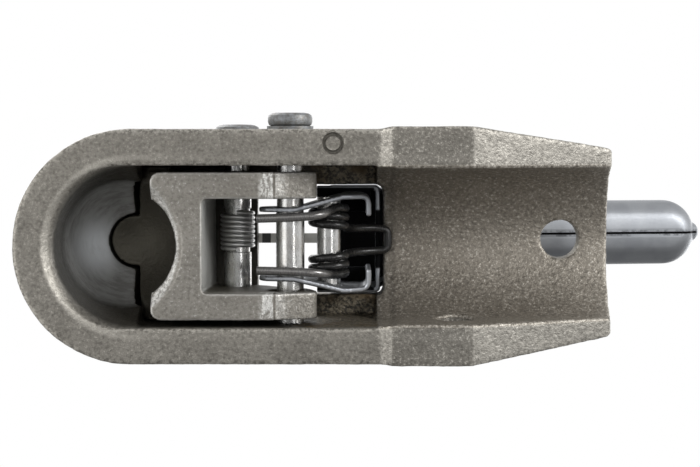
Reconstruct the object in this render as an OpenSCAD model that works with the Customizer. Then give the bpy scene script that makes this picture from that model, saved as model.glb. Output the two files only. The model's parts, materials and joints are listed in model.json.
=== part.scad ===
// Cast coupling head for a trailer drawbar, seen in its working position:
// the ball socket opens downwards, +X runs back along the drawbar, +Z is up.
// The origin is the centre of the ball.

/* [Ball socket] */
// Diameter of the coupling ball
ball_d = 50; // [48:0.1:51]
// Radial clearance of the cast socket around the ball
socket_gap = 0.2; // [0.1:0.1:0.5]
// Radial clearance of the jaw around the ball
jaw_gap = 0.6; // [0.4:0.1:1]
// Height of the ball centre above the rim
rim_drop = 22; // [20:0.5:24]
// Width of the chamfer round the mouth of the socket
mouth_chamfer = 4.5; // [3:0.5:5]

/* [Cast body] */
// Outer radius of the round nose, also half the front width
nose_r = 45; // [43:0.5:47]
// Distance of the nose circle's centre behind the ball centre
nose_x = 4.5; // [3:0.5:6]
// Height of the top plate above the ball centre
top_z = 42; // [41:0.5:44]
// Thickness of the top plate
top_plate = 9; // [7:0.5:9]
// Radius of the top edges of the front
shoulder_r = 22; // [16:1:24]
// Half width of the front cavity
cavity_half_w = 31.2; // [31:0.1:32]
// Length of the step from the rim to the rear rail
step_len = 4.5; // [4:0.1:8]
// Rise of the rear rail above the rim
rail_rise = 3; // [1:0.5:5]
// Place of the step along the body
step_x = 100.2; // [98:0.2:101.4]
// Place where the underside starts to rise to the rear
rise_x = 135.6; // [132:0.1:142]
// Height of the underside at the rear end
rear_z = 8; // [4:1:10]
// Length from the ball centre to the rear end
rear_x = 192.7; // [186:0.1:200]
// Lean of the rear end: how far the crown reaches past the rails
rear_lean = 2.6; // [1:0.2:4]
// Half width of the rear rails
rail_half_w = 46; // [45:0.5:48]
// Half width at the rear end
tail_half_w = 38; // [36:0.5:40]
// Corner radius of the rear end
tail_r = 7; // [3:1:9]

/* [Drawbar channel] */
// Diameter of the drawbar
drawbar_d = 60; // [58:0.5:61]
// Height of the drawbar centre line above the ball centre
drawbar_z = 5; // [4:0.5:7]
// Thickness of the crown above the drawbar
crown_t = 9; // [7:0.5:10]
// Radius of the crown's outer edges
crown_r = 30; // [24:1:34]
// Front end of the drawbar channel
channel_x = 99.3; // [98:0.1:101]
// Diameter of the vertical bolt hole
bolt_v_d = 16; // [12:0.5:17]
// Place of the vertical bolt hole
bolt_v_x = 175.4; // [168:0.2:178]
// Diameter of the cross bolt hole
bolt_c_d = 14.5; // [12:0.5:17]
// Place of the cross bolt hole
bolt_c_x = 130; // [126:1:134]

/* [Top opening] */
// Front edge of the opening in the top plate
open_x0 = 50.3; // [50:0.1:51]
// Rear edge of the opening in the top plate
open_x1 = 102.2; // [101.6:0.2:103]
// Half width of the opening
open_half_w = 22.8; // [22.6:0.1:24]
// Corner radius of the opening
open_r = 3; // [1:0.5:4]

/* [Jaw] */
// Place of the jaw pin along the body
jaw_pin_x = 43; // [42.8:0.1:43.4]
// Height of the jaw pin
jaw_pin_z = 20; // [19.8:0.1:20.4]
// Diameter of the jaw pin
jaw_pin_d = 10; // [9:0.2:10.4]
// Running clearance of the pins, on the radius
pin_gap = 0.05; // [0.03:0.01:0.08]
// Height of the jaw's underside below the ball centre
jaw_drop = 17; // [16:0.5:18]
// Reach of the jaw's shoulders from the jaw pin
jaw_reach = 40.3; // [40:0.1:40.6]
// Gap between the cast socket and the jaw's shoulders
jaw_front_gap = 1.2; // [1:0.1:1.6]
// Radius of the jaw's round tongue
tongue_r = 10.2; // [9:0.2:11]
// Distance of the tongue's centre behind the ball centre
tongue_x = 1.6; // [1:0.1:2]
// Gap round the tongue
tongue_gap = 1; // [0.9:0.1:1.4]
// Height of the jaw's top
jaw_top_z = 29; // [28:0.2:29.2]
// Gap between the jaw's arms and the cavity's walls
arm_gap = 2.7; // [2.2:0.1:3.2]
// Gap between the jaw's shoulders and the cavity's walls
shoulder_gap = 1; // [0.8:0.1:2]
// Front corner of the jaw's underside
horn_x = 11.6; // [11:0.2:13]
// Corner radius of the jaw's underside in front
horn_r = 4; // [2:0.5:5]
// How much the jaw's shoulders fall back towards the sides
shoulder_taper = 2; // [0.5:0.1:2.5]
// Front edge of the window between the arms
window_x = 31.4; // [31:0.1:33]
// Corner radius of the window at the underside
window_r = 2; // [1:0.5:4]
// Width of the window between the arms
window_w = 36.5; // [36:0.1:37]
// Place of the worn ridge on the arms
ridge_x = 58.9; // [57:0.1:60]
// Rear end of the arms
arm_x = 75.5; // [74:0.1:76]
// Rise of the arms' underside behind the ridge
arm_rise = 7; // [5:0.5:9]
// Angle that the jaw swings through, in degrees
jaw_swing = 10; // [8:0.5:10.5]

/* [Handle pin] */
// Place of the handle pin along the body
handle_pin_x = 64.9; // [64.7:0.1:65.2]
// Height of the handle pin
handle_pin_z = 3; // [2.6:0.1:3.4]
// Diameter of the handle pin
handle_pin_d = 10.6; // [9.6:0.2:10.8]
// Diameter of the heads of the pins
head_d = 17.5; // [15:0.5:19]
// Height of the barrel head of the handle pin
head_h = 5.2; // [4:0.2:6]
// Height of the low head of the jaw pin
rivet_h = 2.2; // [1.6:0.2:3]
// Thickness of the split washer
washer_t = 1.4; // [1:0.1:2]

/* [Handle] */
// Thickness of the folded sheet
sheet = 2; // [1.6:0.1:2.2]
// Half distance between the cheeks at the handle pin
cheek_y = 12.6; // [12.4:0.1:13]
// Half distance between the cheeks at their rear
cheek_rear_y = 17.5; // [17.4:0.1:17.8]
// Gap between the curled ends of the cheeks and the rear of the opening
cheek_end_gap = 5.2; // [4.8:0.2:6]
// Half width of the hood
hood_half_w = 22.2; // [21.6:0.1:22.3]
// Front edge of the hood
hood_x0 = 80; // [80:0.2:81]
// Height of the hood's upper side
hood_z = 62; // [61:0.5:63]
// Width of the grip
grip_w = 28.5; // [24:0.5:30]
// Height of the grip
grip_h = 16; // [15:0.5:17]
// Height of the front end of the grip's underside above the ball centre
grip_z = 68; // [66:0.5:70]
// Slope of the grip up to the rear, in degrees
grip_slope = 9; // [6:0.5:11]
// Length of the grip
grip_l = 120.7; // [110:0.1:126]
// Width of the seam under the grip
seam_w = 0.6; // [0.4:0.1:1]
// Length of the small nub at the tip
nub_l = 2.8; // [1.5:0.1:4]
// Radius of the small nub
nub_r = 4.6; // [3:0.1:5]
// Place of the spring pin along the body
spring_pin_x = 80; // [79.6:0.1:80.4]
// Height of the spring pin
spring_pin_z = 13; // [12.6:0.1:13.4]
// Diameter of the spring pin
spring_pin_d = 9.6; // [9:0.2:9.8]

/* [Springs] */
// Wire of the jaw return spring
jaw_wire_d = 1.8; // [1.2:0.1:1.8]
// Turns of the jaw return spring
jaw_turns = 8; // [6:1:9]
// Reach of the jaw return spring towards +Y
jaw_coil_y = 3.9; // [2:0.1:6]
// Wire of the handle spring
spring_wire_d = 3.4; // [3:0.1:3.4]
// Whole turns in each coil of the handle spring
spring_turns = 2; // [1:1:2]
// Play of a coil round its pin
coil_gap = 0.3; // [0.2:0.05:0.35]

/* [Witness ring] */
// Place of the ring along the rim
ring_x = 82; // [60:1:92]
// Outer diameter of the ring
ring_d = 7; // [4:0.5:9]
// Width of the ring's line
ring_line = 0.9; // [0.5:0.1:1.2]
// Depth of the ring
ring_depth = 0.5; // [0.3:0.1:0.8]

/* [Indicator] */
// Width of the indicator strip
strip_w = 4; // [3:0.5:6]
// Thickness of the indicator strip
strip_t = 1.6; // [1:0.2:2]
// Distance of the strip's rivet from the front edge of the opening
strip_seat = 9.3; // [7:0.1:12]
// Gap between the strip and the hood
strip_gap = 3.5; // [2.5:0.5:8]

/* [Hidden] */
$fn = 64;
big = 400;
socket_r = ball_d / 2 + socket_gap;
jaw_r = ball_d / 2 + jaw_gap;
rim_z = -rim_drop;
roof_z = top_z - top_plate;
rail_z = rim_z + rail_rise;
channel_r = drawbar_d / 2;
relief_r = channel_r + 0.5;
crown_z = drawbar_z + channel_r + crown_t;
mouth_x = 6;
tail_x = rear_x + rear_lean + 0.5;
socket_rear_r = jaw_reach + jaw_front_gap;
tongue_reach = jaw_pin_x - tongue_x + tongue_r + 0.15;
jaw_floor_z = -jaw_drop;
jaw_half_w = cavity_half_w - arm_gap;
shoulder_half_w = cavity_half_w - shoulder_gap;
jaw_hole_r = jaw_pin_d / 2 + pin_gap;
handle_hole_r = handle_pin_d / 2 + pin_gap;
window_half_w = window_w / 2;
slot_r = norm([handle_pin_x - jaw_pin_x, handle_pin_z - jaw_pin_z]);
slot_a = atan2(handle_pin_z - jaw_pin_z, handle_pin_x - jaw_pin_x);
slot_half_w = handle_pin_d / 2 + 0.5;
grip_r = grip_h / 2 - 0.5;
grip_end_l = grip_l - grip_w / 2;
grip_x0 = hood_x0 + 44;
hood_floor_z = 34;
cheek_turn_x = handle_pin_x + 2;
cheek_wide_x = spring_pin_x + 6;
cheek_end_x = open_x1 - cheek_end_gap;
seat_x = open_x1 + 2.6 + spring_wire_d / 2;
strip_x = open_x0 - strip_seat;
strip_end_x = hood_x0 - strip_gap;
cheek_slope = (cheek_rear_y - cheek_y) / (cheek_wide_x - cheek_turn_x);
spring_pin_half = cheek_y + cheek_slope * (spring_pin_x - cheek_turn_x) + sheet + 0.15;
coil_r = spring_pin_d / 2 + coil_gap + spring_wire_d / 2;
jaw_coil_r = jaw_pin_d / 2 + coil_gap + jaw_wire_d / 2;

// Points of an arc about c with radius r, from angle a0 to a1 in n steps.
function arc(c, r, a0, a1, n = 8) =
    [for (i = [0 : n]) c + r * [cos(a0 + (a1 - a0) * i / n), sin(a0 + (a1 - a0) * i / n)]];

// Extrudes an outline drawn in X and Z across the body, half width w each side.
module across(w) {
    rotate([90, 0, 0]) translate([0, 0, -w]) linear_extrude(2 * w) children();
}

// Cylinder across the body about (x, z).
module cross_rod(x, z, r, y0, y1) {
    translate([x, y1, z]) rotate([90, 0, 0]) cylinder(r = r, h = y1 - y0);
}

// Half section of the nose: straight flank, rounded shoulder.
module nose_section() {
    polygon(concat([[0, rim_z], [nose_r, rim_z]],
        arc([nose_r - shoulder_r, top_z - shoulder_r], shoulder_r, 0, 90, 10), [[0, top_z]]));
}

// Full section of the rear body, with rounded crown.
module rear_section() {
    polygon(concat([[-rail_half_w, rim_z], [rail_half_w, rim_z]],
        arc([rail_half_w - crown_r, crown_z - crown_r], crown_r, 0, 90, 10),
        arc([crown_r - rail_half_w, crown_z - crown_r], crown_r, 90, 180, 10)));
}

// Plan outline of the whole body.
module body_plan() {
    polygon(concat(
        arc([nose_x, 0], nose_r, 90, 270, 36),
        [[step_x, -nose_r], [step_x + step_len, -rail_half_w], [rise_x, -rail_half_w]],
        arc([tail_x - tail_r, tail_r - tail_half_w], tail_r, -82, 0, 6),
        arc([tail_x - tail_r, tail_half_w - tail_r], tail_r, 0, 82, 6),
        [[rise_x, rail_half_w], [step_x + step_len, rail_half_w], [step_x, nose_r]]));
}

// Outer form of the body before the hollows are cut.
module body_block() {
    translate([nose_x, 0, 0]) intersection() {
        rotate_extrude() nose_section();
        translate([-big, -big / 2, -big / 2]) cube([big, big, big]);
    }
    intersection() {
        translate([nose_x, 0, 0]) rotate([90, 0, 90]) linear_extrude(step_x - nose_x)
            union() {
                nose_section();
                mirror([1, 0]) nose_section();
            }
        translate([0, 0, -big / 2]) linear_extrude(big) body_plan();
    }
    intersection() {
        translate([step_x - 6, 0, 0]) rotate([90, 0, 90]) linear_extrude(tail_x - step_x + 6) rear_section();
        translate([0, 0, -big / 2]) linear_extrude(big) body_plan();
    }
}

// Space below the rear rails and behind the leaning rear end.
module under_cut() {
    lean = rear_lean / (crown_z - rear_z);
    across(big / 2) polygon([[step_x, rim_z], [step_x + step_len, rail_z], [rise_x, rail_z], [rear_x, rear_z],
        [rear_x + lean * (crown_z + 2 - rear_z), crown_z + 2], [tail_x + 9, crown_z + 2],
        [tail_x + 9, rim_z - 9], [step_x - 9, rim_z - 9], [step_x - 9, rim_z]]);
}

// Front cavity: the ball's quarter, the round mouth and the room for the jaw.
module front_cavity() {
    sphere(r = socket_r, $fn = 96);
    hull() {
        translate([mouth_x, 0, rim_z + mouth_chamfer]) cylinder(r = cavity_half_w, h = 0.1);
        translate([0, 0, -1.1]) cylinder(r = socket_r - 0.05, h = 0.1);
    }
    hull() {
        translate([mouth_x, 0, rim_z + mouth_chamfer]) cylinder(r = cavity_half_w, h = 0.1);
        translate([mouth_x - mouth_chamfer - 1, 0, rim_z - 1]) cylinder(r = cavity_half_w, h = 0.1);
    }
    translate([mouth_x, -cavity_half_w, rim_z - 1])
        cube([channel_x - mouth_x, 2 * cavity_half_w, rim_drop + 1]);
    jaw_room();
    tongue_notch();
}

// Room behind the socket's rear face, which is an arc about the jaw pin.
module jaw_room() {
    intersection() {
        translate([mouth_x - 20, -cavity_half_w, rim_z])
            cube([channel_x - mouth_x + 20, 2 * cavity_half_w, roof_z - rim_z]);
        union() {
            cross_rod(jaw_pin_x, jaw_pin_z, socket_rear_r, -cavity_half_w, cavity_half_w);
            translate([jaw_pin_x, -cavity_half_w, rim_z])
                cube([channel_x - jaw_pin_x, 2 * cavity_half_w, roof_z - rim_z]);
        }
    }
}

// Notch in the socket for the jaw's tongue.
module tongue_notch() {
    intersection() {
        translate([tongue_x, 0, 0]) cylinder(r = tongue_r + tongue_gap, h = roof_z);
        cross_rod(jaw_pin_x, jaw_pin_z, tongue_reach + tongue_gap, -big / 8, big / 8);
    }
}

// Plan of the opening in the top plate, with rounded corners.
module opening_plan() {
    polygon(concat(
        arc([open_x1 - open_r, open_half_w - open_r], open_r, 0, 90, 4),
        arc([open_x0 + open_r, open_half_w - open_r], open_r, 90, 180, 4),
        arc([open_x0 + open_r, open_r - open_half_w], open_r, 180, 270, 4),
        arc([open_x1 - open_r, open_r - open_half_w], open_r, 270, 360, 4)));
}

// Channel of radius r from x on, open below; the short front stretch is wider, clear of the spring's loop.
module channel_cut(x, r, l) {
    translate([x, 0, drawbar_z]) rotate([0, 90, 0]) cylinder(r = r, h = l, $fn = 96);
    translate([x, -r, rim_z - 1]) cube([l, 2 * r, drawbar_z - rim_z + 1]);
}

module body_casting() {
    color([0.50, 0.47, 0.44])
    difference() {
        body_block();
        under_cut();
        front_cavity();
        translate([0, 0, drawbar_z]) linear_extrude(big / 4) opening_plan();
        channel_cut(channel_x - 0.01, relief_r, seat_x - channel_x + 0.02);
        channel_cut(seat_x, channel_r, big);
        translate([bolt_v_x, 0, 0]) cylinder(d = bolt_v_d, h = big);
        cross_rod(bolt_c_x, drawbar_z, bolt_c_d / 2, -big / 4, big / 4);
        cross_rod(jaw_pin_x, jaw_pin_z, jaw_pin_d / 2, -big / 4, big / 4);
        cross_rod(handle_pin_x, handle_pin_z, handle_pin_d / 2, -big / 4, big / 4);
        witness_ring();
    }
}

// Shallow ring sunk in the rim.
module witness_ring() {
    translate([ring_x, (cavity_half_w + nose_r) / -2, rim_z]) difference() {
        cylinder(d = ring_d, h = 2 * ring_depth, center = true);
        cylinder(d = ring_d - 2 * ring_line, h = 3 * ring_depth, center = true);
    }
}

// Side outline of the jaw and its arms.
module jaw_side() {
    boss_r = jaw_top_z - jaw_pin_z;
    polygon(concat(
        [[horn_x, jaw_floor_z], [ridge_x, jaw_floor_z], [arm_x - 2, jaw_floor_z + arm_rise - 1],
         [arm_x, jaw_floor_z + arm_rise + 1], [arm_x, handle_pin_z - 5]],
        arc([handle_pin_x, handle_pin_z], slot_half_w + 3, 10, 70, 5),
        arc([jaw_pin_x, jaw_pin_z], boss_r, 60, 90, 4),
        [[-10, jaw_top_z], [-10, 12], [6, 2], [horn_x - 3, -4], [horn_x, -9]]));
}

// Sector between two angles about the jaw pin, for the slot in the arms.
module slot_outline() {
    c = [jaw_pin_x, jaw_pin_z];
    translate(c + slot_r * [cos(slot_a), sin(slot_a)]) circle(r = slot_half_w);
    translate(c + slot_r * [cos(slot_a - jaw_swing), sin(slot_a - jaw_swing)]) circle(r = slot_half_w);
    polygon(concat(
        arc(c, slot_r + slot_half_w, slot_a - jaw_swing, slot_a, 6),
        arc(c, slot_r - slot_half_w, slot_a, slot_a - jaw_swing, 6)));
}

// Plan of the jaw's underside, with rounded front corners.
module jaw_plan() {
    polygon(concat([[arm_x + 5, -jaw_half_w], [arm_x + 5, jaw_half_w]],
        arc([horn_x + horn_r, jaw_half_w - horn_r], horn_r, 90, 180, 5),
        arc([horn_x + horn_r, horn_r - jaw_half_w], horn_r, 180, 270, 5)));
}

// Jaw block without its hollows: main width, wider shoulders above, round tongue in front.
module jaw_block() {
    taper_r = jaw_reach - shoulder_taper;
    intersection() {
        union() {
            translate([0, 0, jaw_floor_z]) linear_extrude(jaw_drop - 4.5) jaw_plan();
            intersection() {
                union() {
                    translate([horn_x - 4, -jaw_half_w, -4.6]) cube([big, 2 * jaw_half_w, big / 4]);
                    translate([-20, -shoulder_half_w, 2]) cube([horn_x + 26, 2 * shoulder_half_w, big / 4]);
                }
                turned(jaw_pin_x, jaw_pin_z, [[0, -cavity_half_w], [taper_r, -cavity_half_w],
                    [jaw_reach, -tongue_r], [jaw_reach, tongue_r], [taper_r, cavity_half_w],
                    [0, cavity_half_w]]);
            }
        }
        across(shoulder_half_w) jaw_side();
    }
    intersection() {
        translate([tongue_x, 0, 0]) cylinder(r = tongue_r, h = jaw_top_z);
        cross_rod(jaw_pin_x, jaw_pin_z, tongue_reach, -big / 8, big / 8);
        translate([tongue_x - 20, -tongue_r, 10]) cube([20 + tongue_r, 2 * tongue_r, jaw_top_z - 10]);
    }
}

module ball_jaw() {
    color([0.50, 0.48, 0.45])
    difference() {
        jaw_block();
        sphere(r = jaw_r, $fn = 96);
        translate([-5, 0, jaw_floor_z - 1]) cylinder(r1 = 30.4, r2 = 25.4, h = 4);
        intersection() {
            translate([0, 0, jaw_floor_z - 1]) linear_extrude(big / 4) window_plan();
            across(jaw_half_w) polygon([[window_x, jaw_floor_z - 1], [window_x + 2.2, jaw_top_z + 1],
                [big / 2, jaw_top_z + 1], [big / 2, jaw_floor_z - 1]]);
        }
        cross_rod(jaw_pin_x, jaw_pin_z, jaw_hole_r, -big / 8, big / 8);
        across(big / 8) slot_outline();
    }
}

// Plan of the window between the arms, with rounded front corners.
module window_plan() {
    polygon(concat([[arm_x + 5, -window_half_w], [arm_x + 5, window_half_w]],
        arc([window_x + window_r, window_half_w - window_r], window_r, 90, 180, 4),
        arc([window_x + window_r, window_r - window_half_w], window_r, 180, 270, 4)));
}

// Turned piece across the body about (x, z). Its profile gives radius and distance towards -Y.
module turned(x, z, profile) {
    translate([x, 0, z]) rotate([90, 0, 0]) rotate_extrude() polygon(profile);
}

module jaw_pin() {
    r = jaw_pin_d / 2;
    color([0.72, 0.73, 0.74])
    turned(jaw_pin_x, jaw_pin_z, [[0, -nose_r], [r, -nose_r], [r, nose_r], [head_d / 2, nose_r],
        [head_d / 2, nose_r + rivet_h / 2], [head_d / 2 - 3, nose_r + rivet_h], [0, nose_r + rivet_h]]);
}

module handle_pin() {
    r = handle_pin_d / 2;
    seat = nose_r + washer_t;
    color([0.74, 0.74, 0.73])
    turned(handle_pin_x, handle_pin_z, [[0, -nose_r], [r, -nose_r], [r, seat], [head_d / 2, seat],
        [head_d / 2, seat + head_h - 1], [head_d / 2 - 1, seat + head_h], [0, seat + head_h]]);
}

module handle_pin_split_washer() {
    color([0.62, 0.63, 0.64])
    difference() {
        cross_rod(handle_pin_x, handle_pin_z, head_d / 2 + 0.4, -nose_r - washer_t, -nose_r);
        cross_rod(handle_pin_x, handle_pin_z, handle_pin_d / 2, -nose_r - washer_t - 1, -nose_r + 1);
        translate([handle_pin_x - 0.8, -nose_r - washer_t - 1, handle_pin_z])
            cube([1.6, washer_t + 2, head_d]);
    }
}

// Plan of one cheek: straight by the pin, spread towards the rear, curled in at its end.
module cheek_plan(y_side) {
    inner = [[50, cheek_y], [cheek_turn_x, cheek_y], [cheek_wide_x, cheek_rear_y],
             [cheek_end_x - 4, cheek_rear_y]];
    outer = [for (p = inner) [p[0], p[1] + sheet]];
    bend_in = arc([cheek_end_x - 4, cheek_rear_y - 2], 2, 90, 0, 4);
    bend_out = arc([cheek_end_x - 4, cheek_rear_y - 2], 2 + sheet, 0, 90, 4);
    tip = [[cheek_end_x - 2, cheek_rear_y - 7], [cheek_end_x + sheet - 2, cheek_rear_y - 7]];
    scale([1, y_side]) polygon(concat(inner, bend_in, tip, bend_out,
        [for (i = [len(outer) - 2 : -1 : 0]) outer[i]]));
}

// Side outline of the cheeks.
module cheek_side() {
    polygon(concat(
        arc([handle_pin_x - 4, handle_pin_z + 1], 8.5, 230, 110, 6),
        [[handle_pin_x + 2, 12], [hood_x0, hood_floor_z + 1], [hood_x0, hood_floor_z + 6],
         [cheek_end_x + 3, hood_floor_z + 6], [cheek_end_x + 3, 12], [cheek_end_x - 8, 0],
         [handle_pin_x + 4, handle_pin_z - 9]]));
}

// Point of the side view at a length along the grip and a height above its underside.
function grip_at(l, h) = [grip_x0 + l * cos(grip_slope) - h * sin(grip_slope),
    grip_z + l * sin(grip_slope) + h * cos(grip_slope)];

// Side outline of the hood and its neck, moved in by t.
module hood_side(t) {
    bend = grip_at(-12, grip_h - 3.5);
    down = [0, -t];
    polygon([[hood_x0, hood_floor_z - t], [hood_x0, hood_z - 10 - t], [hood_x0 + 6, hood_z - t],
        ([hood_x0 + 6, hood_z - 1.6] + bend) / 2 + down, bend + down, grip_at(-4, grip_h) + down,
        grip_at(2, grip_h) + down, grip_at(2, 2) + down, grip_at(-8, -4) + down,
        [open_x1 + 2, crown_z + 3 - t], [open_x1 - 1.2 - t, crown_z + 1 - t],
        [open_x1 - 1.2 - t, hood_floor_z - t]]);
}

// Plan of the hood and its neck, moved in by t.
module hood_plan(t) {
    w = hood_half_w - t;
    n = grip_w / 2 - t;
    polygon([[hood_x0 - 1, -w], [hood_x0 + 19.5, -w], [hood_x0 + 21.5, 1.5 - w], [hood_x0 + 40, -n],
        [hood_x0 + 47, -n], [hood_x0 + 47, n], [hood_x0 + 40, n], [hood_x0 + 21.5, w - 1.5],
        [hood_x0 + 19.5, w], [hood_x0 - 1, w]]);
}

// Half section of the grip about its middle plane: a rolled tube with an open seam below.
module grip_half() {
    w = grip_w / 2;
    difference() {
        polygon(concat([[seam_w / 2, 0]], arc([w - grip_r, grip_r], grip_r, -90, 0, 6),
            arc([w - grip_r, grip_h - grip_r], grip_r, 0, 90, 6), [[seam_w / 2, grip_h]]));
        polygon(concat([[-1, sheet + 1]], arc([w - grip_r, grip_r], grip_r - sheet, -90, 0, 6),
            arc([w - grip_r, grip_h - grip_r], grip_r - sheet, 0, 90, 6), [[-1, grip_h - sheet]]));
    }
}

// The grip in its own frame: its front end at x = 0, its underside at z = 0.
module grip() {
    rotate([90, 0, 90]) linear_extrude(grip_end_l) union() {
        grip_half();
        mirror([1, 0]) grip_half();
    }
    translate([0, -1, grip_h - sheet]) cube([grip_end_l + 1, 2, sheet]);
    translate([grip_end_l, 0, 0]) rotate([0, 0, -90]) rotate_extrude(angle = 180) grip_half();
    translate([grip_end_l, 0, grip_h - sheet]) cylinder(r = 2, h = sheet);
    translate([grip_l + nub_l - nub_r, 0, grip_h / 2]) sphere(r = nub_r);
}

module handle() {
    color([0.70, 0.72, 0.75])
    difference() {
        union() {
            difference() {
                intersection() {
                    across(big / 8) hood_side(0);
                    linear_extrude(big) hood_plan(0);
                }
                intersection() {
                    across(big / 8) hood_side(sheet);
                    translate([0, 0, -sheet]) linear_extrude(big) hood_plan(sheet);
                }
            }
            for (side = [-1, 1]) intersection() {
                linear_extrude(big, center = true) cheek_plan(side);
                across(big / 8) cheek_side();
            }
            for (side = [-1, 1]) hood_web(side);
            translate([grip_x0, 0, grip_z]) rotate([0, -grip_slope, 0]) grip();
        }
        cross_rod(handle_pin_x, handle_pin_z, handle_hole_r, -big / 8, big / 8);
        cross_rod(spring_pin_x, spring_pin_z, spring_pin_d / 2, -big / 8, big / 8);
    }
}

// Shelf that joins a cheek to the hood's flank and closes the opening behind the jaw's arm.
module hood_web(side) {
    y0 = cheek_rear_y - 6;
    web_x0 = arm_x - 0.7;
    translate([web_x0, side > 0 ? y0 : -hood_half_w, hood_floor_z + 0.2])
        cube([cheek_end_x - web_x0, hood_half_w - y0, 0.6 * sheet]);
}

module spring_pin() {
    color([0.70, 0.71, 0.72])
    cross_rod(spring_pin_x, spring_pin_z, spring_pin_d / 2, -spring_pin_half, spring_pin_half);
}

// Wire swept along points p: rings of k sides joined in order, with flat ends.
module wire(p, r, k = 8) {
    n = len(p);
    dirs = [for (i = [0 : n - 1]) let (d = p[min(i + 1, n - 1)] - p[max(i - 1, 0)]) d / norm(d)];
    sides = [for (d = dirs) let (s = cross(d, abs(d[1]) < 0.8 ? [0, 1, 0] : [1, 0, 0])) s / norm(s)];
    pts = [for (i = [0 : n - 1]) for (j = [0 : k - 1])
        p[i] + r * (cos(360 * j / k) * sides[i] + sin(360 * j / k) * cross(dirs[i], sides[i]))];
    faces = concat(
        [for (i = [0 : n - 2]) for (j = [0 : k - 1])
            [i * k + j, (i + 1) * k + j, (i + 1) * k + (j + 1) % k, i * k + (j + 1) % k]],
        [[for (j = [0 : k - 1]) j]],
        [[for (j = [0 : k - 1]) (n - 1) * k + k - 1 - j]]);
    polyhedron(points = pts, faces = faces, convexity = 10);
}

// Points of a coil about the Y axis through c, from angle a0 through a sweep in degrees, from y0 with a pitch.
function coil(c, r, a0, sweep, y0, pitch, n = 16) =
    let (steps = round(sweep * n / 360))
        [for (i = [0 : steps]) let (a = a0 + sweep * i / steps)
            [c[0] + r * cos(a), y0 + pitch * sweep / 360 * i / steps, c[1] + r * sin(a)]];

module jaw_return_spring() {
    pitch = jaw_wire_d + 0.06;
    y0 = jaw_coil_y - jaw_wire_d / 2 - jaw_turns * pitch;
    color([0.25, 0.25, 0.26])
    wire(coil([jaw_pin_x, jaw_pin_z], jaw_coil_r, -90, 360 * jaw_turns, y0, pitch), jaw_wire_d / 2);
}

// One side of the handle spring: leg below the handle pin, coil on the spring pin, half of the rear loop.
function spring_half() =
    let (
        pitch = spring_wire_d + 0.12,
        coil_y = spring_pin_half - sheet - spring_wire_d / 2 - 0.6,
        leg_z = handle_pin_z - handle_pin_d / 2 - spring_wire_d / 2 - 0.3,
        loop_x = open_x1 + 2,
        loop_y = 4.4,
        loop_z = drawbar_z + channel_r - spring_wire_d / 2 - 0.6,
        leave_a = 52,
        turn = coil([spring_pin_x, spring_pin_z], coil_r, -90, 360 * spring_turns + leave_a, -coil_y, pitch))
    concat(
        [[handle_pin_x - 13, coil_y - 4, leg_z - 0.6], [handle_pin_x + 2, coil_y - 3.2, leg_z],
         [spring_pin_x - 7, coil_y - 1.8, leg_z + 2.4], [spring_pin_x - 3, coil_y - 0.4, leg_z + 6.6]],
        [for (i = [1 : len(turn) - 1]) [turn[i][0], -turn[i][1], turn[i][2]]],
        [[loop_x - 5, loop_y + 0.4, loop_z - 6], [loop_x - 1.6, loop_y, loop_z - 1],
         [loop_x, loop_y - 2, loop_z]]);

module handle_spring() {
    half = spring_half();
    n = len(half);
    color([0.20, 0.20, 0.21])
    wire(concat(half, [for (i = [n - 1 : -1 : 0]) [half[i][0], -half[i][1], half[i][2]]]), spring_wire_d / 2);
}

module indicator_strip() {
    color([0.55, 0.53, 0.50])
    difference() {
        union() {
            translate([strip_x, -strip_w / 2, top_z]) cube([strip_end_x - strip_x, strip_w, strip_t]);
            translate([strip_x, 0, top_z]) cylinder(d = 2 * strip_w, h = strip_t);
        }
        translate([strip_x, 0, top_z - 1]) cylinder(d = 0.75 * strip_w, h = strip_t + 2);
    }
}

module indicator_rivet() {
    color([0.65, 0.65, 0.66])
    translate([strip_x, 0, top_z]) {
        cylinder(d = 0.75 * strip_w, h = strip_t);
        translate([0, 0, strip_t]) cylinder(d1 = 1.5 * strip_w, d2 = strip_w, h = 0.75 * strip_t);
    }
}

body_casting();
ball_jaw();
jaw_pin();
jaw_return_spring();
handle_pin();
handle_pin_split_washer();
handle();
spring_pin();
handle_spring();
indicator_strip();
indicator_rivet();
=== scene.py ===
"""Dresses the trailer coupling head and sets the light and camera that look up at its underside."""

import json
import logging
import math
from dataclasses import dataclass, field
from enum import Enum

import bpy
from mathutils import Matrix, Vector

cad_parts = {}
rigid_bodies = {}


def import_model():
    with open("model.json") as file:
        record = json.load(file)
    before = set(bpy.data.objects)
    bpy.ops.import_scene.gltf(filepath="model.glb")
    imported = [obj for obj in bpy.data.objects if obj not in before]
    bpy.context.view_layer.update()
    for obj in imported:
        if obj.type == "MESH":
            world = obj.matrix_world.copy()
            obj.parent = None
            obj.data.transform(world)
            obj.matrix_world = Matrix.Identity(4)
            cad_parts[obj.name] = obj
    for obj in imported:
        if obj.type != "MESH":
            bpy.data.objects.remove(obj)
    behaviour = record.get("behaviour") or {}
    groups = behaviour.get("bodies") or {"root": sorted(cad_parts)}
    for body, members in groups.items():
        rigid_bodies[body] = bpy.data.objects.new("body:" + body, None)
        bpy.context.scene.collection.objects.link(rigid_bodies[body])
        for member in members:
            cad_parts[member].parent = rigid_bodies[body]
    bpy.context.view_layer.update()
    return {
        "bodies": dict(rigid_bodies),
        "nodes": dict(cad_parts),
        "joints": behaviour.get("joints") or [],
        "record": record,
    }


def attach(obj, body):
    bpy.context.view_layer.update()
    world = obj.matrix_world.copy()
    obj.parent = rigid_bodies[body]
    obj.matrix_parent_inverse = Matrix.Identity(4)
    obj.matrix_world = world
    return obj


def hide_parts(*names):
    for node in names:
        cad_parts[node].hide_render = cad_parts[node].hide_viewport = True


LOG = logging.getLogger("coupling_head")
MM = 0.001
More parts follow.
